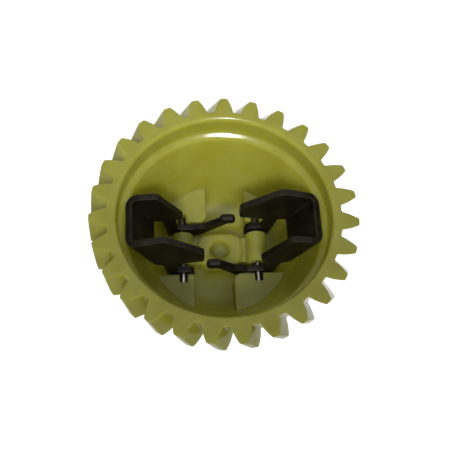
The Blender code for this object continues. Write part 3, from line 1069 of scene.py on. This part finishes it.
@dataclass
class Flyweight:
    """A U-shaped flyweight with one finger, made at its pin and then put in its place.

    Pairs are (outwards, up) from the pin. The finger's nose, the dip, the bend and the knuckle are
    (inwards, up), the heel is (inwards, down), and the knuckle's size is (length, height).
    """

    side: int
    cheek_width: float = 0.0118
    sheet: float = 0.0014
    bend_outside: float = 0.0024
    bend_inside: float = 0.0005
    web_lean: float = math.radians(25.0)
    rim: tuple[float, float] = (0.0120, 0.0152)
    shoulder: tuple[float, float] = (0.0094, 0.01665)
    web_foot: float = 0.0062
    leg_top: tuple[float, float] = (0.0045, 0.0060)
    leg_foot: float = 0.0030
    eye_in: float = 0.0025
    eye_top: float = 0.0017
    eye_round: float = 0.0017
    foot_down: float = 0.0019
    notch: tuple[float, float] = (0.0014, 0.0064)
    plain_peak: tuple[float, float] = (0.0041, 0.0184)
    plain_nose_in: float = 0.0043
    plain_nose_top: float = 0.0115
    plain_nose_bottom: float = 0.0076
    finger_peak: tuple[float, float] = (0.0055, 0.0172)
    finger_nose: tuple[float, float] = (0.0003, 0.0076)
    peak_round: float = 0.0015
    nose_top_round: float = 0.0015
    nose_round: float = 0.0007
    notch_round: float = 0.00035
    dip: tuple[float, float] = (0.0024, 0.0013)
    bend: tuple[float, float] = (0.0052, 0.0022)
    heel: tuple[float, float] = (0.0040, 0.0018)
    knuckle: tuple[float, float] = (0.0101, 0.0050)
    knuckle_size: tuple[float, float] = (0.0035, 0.0019)
    knuckle_corner: float = 0.0009
    knuckle_outside: float = 0.0005
    knuckle_inside: float = 0.0001
    knuckle_joint: float = 0.0003
    knuckle_round: float = 0.0007
    knuckle_steps: int = 4
    hole_steps: int = 32
    arc_steps: int = 10
    voxel: float = 0.0001
    soften_rounds: int = 5
    soften_share: float = 0.5
    kept_share: float = 0.35
    full_wear: float = math.radians(35.0)
    sharp_angle: float = math.radians(50.0)
    finish: BlackMetalFinish = field(default_factory=BlackMetalFinish)

    def _channel(self, inset: float, bend_radius: float) -> BMesh:
        """Make a box with two bent edges that leans like the web.

        Args:
            inset: How far it lies inside the flyweight's outer surface.
            bend_radius: The radius of its two bends.

        Returns:
            The closed mesh.
        """
        tall = self.rim[1] + self.shoulder[1]
        half_width = self.cheek_width / 2 - inset
        back = self.rim[0] - inset / math.cos(self.web_lean)
        bm = box((-self.knuckle[0] - tall, -half_width, -self.rim[1]), (back, half_width, tall))
        bevel_edges(bm, upright_edges(bm, lambda middle: middle.x > 0), bend_radius, self.arc_steps)
        lean = Matrix.Identity(4)
        lean[0][2] = math.tan(self.web_lean)
        lean[0][3] = -self.rim[1] * math.tan(self.web_lean)
        bmesh.ops.transform(bm, matrix=lean, verts=bm.verts)
        return bm

    def _web_out(self, up: float) -> float:
        """How far out the web's outer face is at a height above the pin."""
        return self.rim[0] - (self.rim[1] - up) * math.tan(self.web_lean)

    def _shared_top(self) -> list[Corner]:
        """The corners at the rim, which both side views share."""
        return [(self._web_out(self.rim[1]) + OVERLAP, self.rim[1], 0.0), (*self.shoulder, 0.0)]

    def _shared_leg(self) -> list[Corner]:
        """The corners of the leg's outer edge, which both side views share."""
        return [
            (self.leg_foot, -self.foot_down, 0.0),
            (*self.leg_top, self.nose_round),
            (self._web_out(self.web_foot) + OVERLAP, self.web_foot, 0.0),
        ]

    def _plain_side(self) -> list[Vector]:
        """Draw the side view of the cheek with the long nose.

        Returns:
            Its outline, as (x, z) points.
        """
        corners = [
            *self._shared_top(),
            (*self.plain_peak, self.peak_round),
            (-self.plain_nose_in, self.plain_nose_top, self.nose_top_round),
            (-self.plain_nose_in, self.plain_nose_bottom, self.nose_round),
            (*self.notch, self.nose_round),
            (self.notch[0], self.eye_top, self.notch_round),
            (-self.eye_in, self.eye_top, self.eye_round),
            (-self.eye_in, -self.foot_down, 0.0),
            *self._shared_leg(),
        ]
        return rounded_outline(corners, self.arc_steps)

    def _finger_side(self) -> list[Vector]:
        """Draw the side view of the cheek with the finger.

        Returns:
            Its outline, as (x, z) points.
        """
        half = self.knuckle_size[1] / 2 - self.knuckle_joint
        corners = [
            *self._shared_top(),
            (*self.finger_peak, self.peak_round),
            (-self.finger_nose[0], self.finger_nose[1], self.nose_round),
            (*self.notch, self.notch_round),
            (self.notch[0], self.eye_top, self.nose_round),
            (-self.dip[0], self.dip[1], self.nose_round),
            (-self.bend[0], self.bend[1], self.nose_round),
            (-self.knuckle[0] + self.knuckle_size[0] / 4, self.knuckle[1] + half, 0.0),
            (-self.knuckle[0], self.knuckle[1] - half, 0.0),
            (-self.heel[0], -self.heel[1], self.notch_round),
            *self._shared_leg(),
        ]
        return rounded_outline(corners, self.arc_steps)

    def _knuckle(self) -> BMesh:
        """Make the knuckle at the finger's tip, which stands out past both faces of the cheek.

        Returns:
            The closed mesh.
        """
        inwards, up = self.knuckle
        length, height = self.knuckle_size
        face = -self.cheek_width / 2
        low = (-inwards - length / 2, face - self.knuckle_outside, up - height / 2)
        high = (-inwards + length / 2, face + self.sheet + self.knuckle_inside, up + height / 2)
        bm = box(low, high)
        bevel_edges(bm, upright_edges(bm, lambda middle: True), self.knuckle_corner, self.arc_steps)
        for level in (low[2], high[2]):
            bevel_edges(bm, level_edges(bm, level), self.knuckle_round, self.knuckle_steps)
        return bm

    def _solid(self, name: str) -> BMesh:
        """Make the flyweight with sharp edges, at its pin.

        Args:
            name: The name of the working mesh.

        Returns:
            The closed mesh.
        """
        half_width = self.cheek_width / 2
        side_view = Sculpture("side view", plate(self._plain_side(), -OVERLAP, half_width + OVERLAP))
        side_view.apply(Operation.ADD, plate(self._finger_side(), -half_width - OVERLAP, 0.0))
        inside = half_width - self.sheet
        under_web = box((-self.rim[0], -inside, -self.rim[1]), (2 * self.rim[0], inside, self.web_foot))
        reach = half_width + OVERLAP
        hole = rod_along_y(HOLE_RADIUS, -reach, reach, 0.0, 0.0, self.hole_steps)
        work = Sculpture(name, self._channel(0.0, self.bend_outside))
        work.apply(Operation.CUT, self._channel(self.sheet, self.bend_inside))
        work.apply(Operation.CUT, under_web)
        work.apply(Operation.KEEP, side_view.baked())
        work.apply(Operation.ADD, self._knuckle())
        return work.apply(Operation.CUT, hole).baked()

    def _softened(self, bm: BMesh) -> BMesh:
        """Round every edge a little by remeshing, smoothing and thinning the mesh.

        Args:
            bm: The sharp solid, which is used up.

        Returns:
            The rounded mesh.
        """
        obj = put_in_scene("soft", mesh_from("soft", bm))
        remesh = obj.modifiers.new("remesh", "REMESH")
        remesh.mode = "VOXEL"
        remesh.voxel_size = self.voxel
        smooth = obj.modifiers.new("smooth", "SMOOTH")
        smooth.iterations = self.soften_rounds
        smooth.factor = self.soften_share
        thin = obj.modifiers.new("thin", "DECIMATE")
        thin.ratio = self.kept_share
        soft = with_modifiers(obj)
        bpy.data.objects.remove(obj, do_unlink=True)
        return soft

    def _mark_wear(self, bm: BMesh) -> None:
        """Store how exposed each point is, for the worn edges of the finish.

        Args:
            bm: The mesh, which gets the attribute.
        """
        layer = bm.verts.layers.float.new(WEAR)
        for vert in bm.verts:
            bend = max((edge.calc_face_angle_signed(0.0) for edge in vert.link_edges), default=0.0)
            vert[layer] = min(1.0, max(0.0, bend / self.full_wear))

    def build(self, shown: Shown) -> bpy.types.Object:
        """Make the flyweight.

        Args:
            shown: What the piece stands for.

        Returns:
            The finished piece.
        """
        bm = self._softened(self._solid(shown.name))
        place = Matrix.Translation((self.side * PIN_OFFSET, 0.0, PIN_HEIGHT))
        if self.side < 0:
            place = place @ Matrix.Rotation(math.pi, 4, "Z")
        bmesh.ops.transform(bm, matrix=place, verts=bm.verts)
        self._mark_wear(bm)
        return finish_piece(shown, bm, self.finish.build(), self.sharp_angle)


@dataclass
class PivotPin:
    """A plain steel pin with chamfered ends."""

    side: int
    length: float = 0.0160
    chamfer: float = 0.00015
    chamfer_steps: int = 2
    segments: int = 48
    sharp_angle: float = math.radians(40.0)
    finish: SteelFinish = field(default_factory=SteelFinish)

    def build(self, shown: Shown) -> bpy.types.Object:
        """Make the pin.

        Args:
            shown: What the piece stands for.

        Returns:
            The finished piece.
        """
        half = self.length / 2
        bm = rod_along_y(PIN_RADIUS, -half, half, self.side * PIN_OFFSET, PIN_HEIGHT, self.segments)
        bevel_edges(bm, edges_across_y(bm), self.chamfer, self.chamfer_steps)
        return finish_piece(shown, outward(bm), self.finish.build(), self.sharp_angle)


class Effect(Enum):
    """Whether a lamp lights the colours or only makes a glint."""

    COLOUR = "colour"
    SHEEN = "sheen"


@dataclass(frozen=True)
class Lamp:
    """A lamp that points at a target: a soft panel, or a spot where it has a cone."""

    name: str
    place: Point
    target: Point
    size: float
    power: float
    effect: Effect
    cone: float = 0.0
    spread: float = math.pi

    def build(self) -> None:
        """Make the lamp."""
        if self.cone:
            data = bpy.data.lights.new(self.name, "SPOT")
            data.spot_size = self.cone
            data.spot_blend = 1.0
            data.shadow_soft_size = self.size / 2
        else:
            data = bpy.data.lights.new(self.name, "AREA")
            data.shape = "DISK"
            data.size = self.size
            data.spread = self.spread
        data.energy = self.power
        lamp = put_in_scene(self.name, data)
        lamp.location = self.place
        lamp.rotation_euler = (Vector(self.target) - Vector(self.place)).to_track_quat("-Z", "Y").to_euler()
        lamp.visible_camera = False
        lamp.visible_diffuse = self.effect is Effect.COLOUR
        lamp.visible_glossy = self.effect is Effect.SHEEN


@dataclass
class Studio:
    """The pale floor, the soft lamps, the white surroundings and the camera."""

    camera_place: Point = (-0.012759, -0.068875, 0.168297)
    camera_target: Point = (0.00085, 0.00267, 0.0132)
    camera_roll: float = math.radians(3.1465)
    camera_lens: float = 62.286
    camera_sensor: float = 36.0
    camera_near: float = 0.005
    floor_size: float = 3.0
    floor_colour: Colour = (0.8, 0.8, 0.8)
    floor_roughness: float = 0.9
    floor_lift: float = 0.92
    surroundings: float = 0.15
    lamps: tuple[Lamp, ...] = (
        Lamp(
            "key", place=(0.010, -0.02, 0.22), target=(0.0, 0.05, 0.02),
            size=0.03, power=0.15, effect=Effect.COLOUR, cone=math.radians(42.0),
        ),
        Lamp(
            "glint", place=(0.009, -0.02, 0.22), target=(0.0, 0.05, 0.02),
            size=0.006, power=1.8, effect=Effect.SHEEN, cone=math.radians(42.0),
        ),
        Lamp(
            "front", place=(-0.018, -0.15, 0.245), target=(0.0, 0.066, 0.012),
            size=0.11, power=0.0215, effect=Effect.COLOUR, spread=math.radians(28.0),
        ),
        Lamp(
            "rear panel", place=(0.0, 0.16, 0.12), target=(0.0, 0.0, 0.02),
            size=0.14, power=0.012, effect=Effect.COLOUR,
        ),
    )

    def _camera(self) -> None:
        """Put the camera where the photograph was taken from."""
        data = bpy.data.cameras.new("camera")
        data.lens = self.camera_lens
        data.sensor_width = self.camera_sensor
        data.clip_start = self.camera_near
        place = Vector(self.camera_place)
        ahead = (Vector(self.camera_target) - place).normalized()
        level = ahead.cross(Vector((0.0, 1.0, 0.0))).normalized()
        upright = level.cross(ahead)
        up = upright * math.cos(self.camera_roll) + level * math.sin(self.camera_roll)
        right = ahead.cross(up)
        camera = put_in_scene("camera", data)
        camera.matrix_world = Matrix.Translation(place) @ Matrix((right, up, -ahead)).transposed().to_4x4()
        bpy.context.scene.camera = camera

    def _floor(self) -> None:
        """Make the floor, which shows white to the camera and still takes the object's shadow."""
        bm = bmesh.new()
        bmesh.ops.create_grid(bm, x_segments=1, y_segments=1, size=self.floor_size / 2)
        floor = put_in_scene("floor", mesh_from("floor", bm))
        material = bpy.data.materials.new("pale floor")
        sheet = NodeSheet(material)
        colour = {"Base Color": (*self.floor_colour, 1.0), "Roughness": self.floor_roughness}
        shader = sheet.fill(sheet.tree.nodes["Principled BSDF"], {**colour, "Specular IOR Level": 0.0})
        strength = sheet.calculate("MULTIPLY", sheet.is_seen(), self.floor_lift)
        lift = sheet.add("ShaderNodeEmission", {"Strength": strength})
        both = sheet.add("ShaderNodeAddShader", {0: shader.outputs[0], 1: lift.outputs[0]})
        sheet.fill(sheet.tree.nodes["Material Output"], {"Surface": both.outputs[0]})
        floor.data.materials.append(material)

    def _surroundings(self) -> None:
        """Light the scene evenly from all round, and show white where nothing else is."""
        world = bpy.data.worlds.new("surroundings")
        bpy.context.scene.world = world
        sheet = NodeSheet(world)
        strength = sheet.span(sheet.is_seen(), 0.0, 1.0, (self.surroundings, 1.0))
        background = sheet.tree.nodes["Background"]
        sheet.fill(background, {"Color": (1.0, 1.0, 1.0, 1.0), "Strength": strength})

    def build(self) -> None:
        """Make the studio."""
        self._camera()
        self._floor()
        self._surroundings()
        for lamp in self.lamps:
            lamp.build()
        bpy.context.scene.view_settings.view_transform = "Standard"


def main() -> None:
    """Load the frame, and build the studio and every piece."""
    logging.basicConfig(level=logging.INFO, format="%(name)s: %(message)s")
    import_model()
    Studio().build()
    GovernorGear().build(Shown("gear_body", "governor_gear", "gear", "gear_plastic"))
    for name, side in (("right", 1), ("left", -1)):
        weight = Shown(f"{name}_weight", f"{name}_flyweight", f"{name}_flyweight", "flyweight_metal")
        Flyweight(side).build(weight)
        PivotPin(side).build(Shown(f"{name}_pin", f"{name}_pivot_pin", "gear", "pin_steel"))


if __name__ == "__main__":
    main()
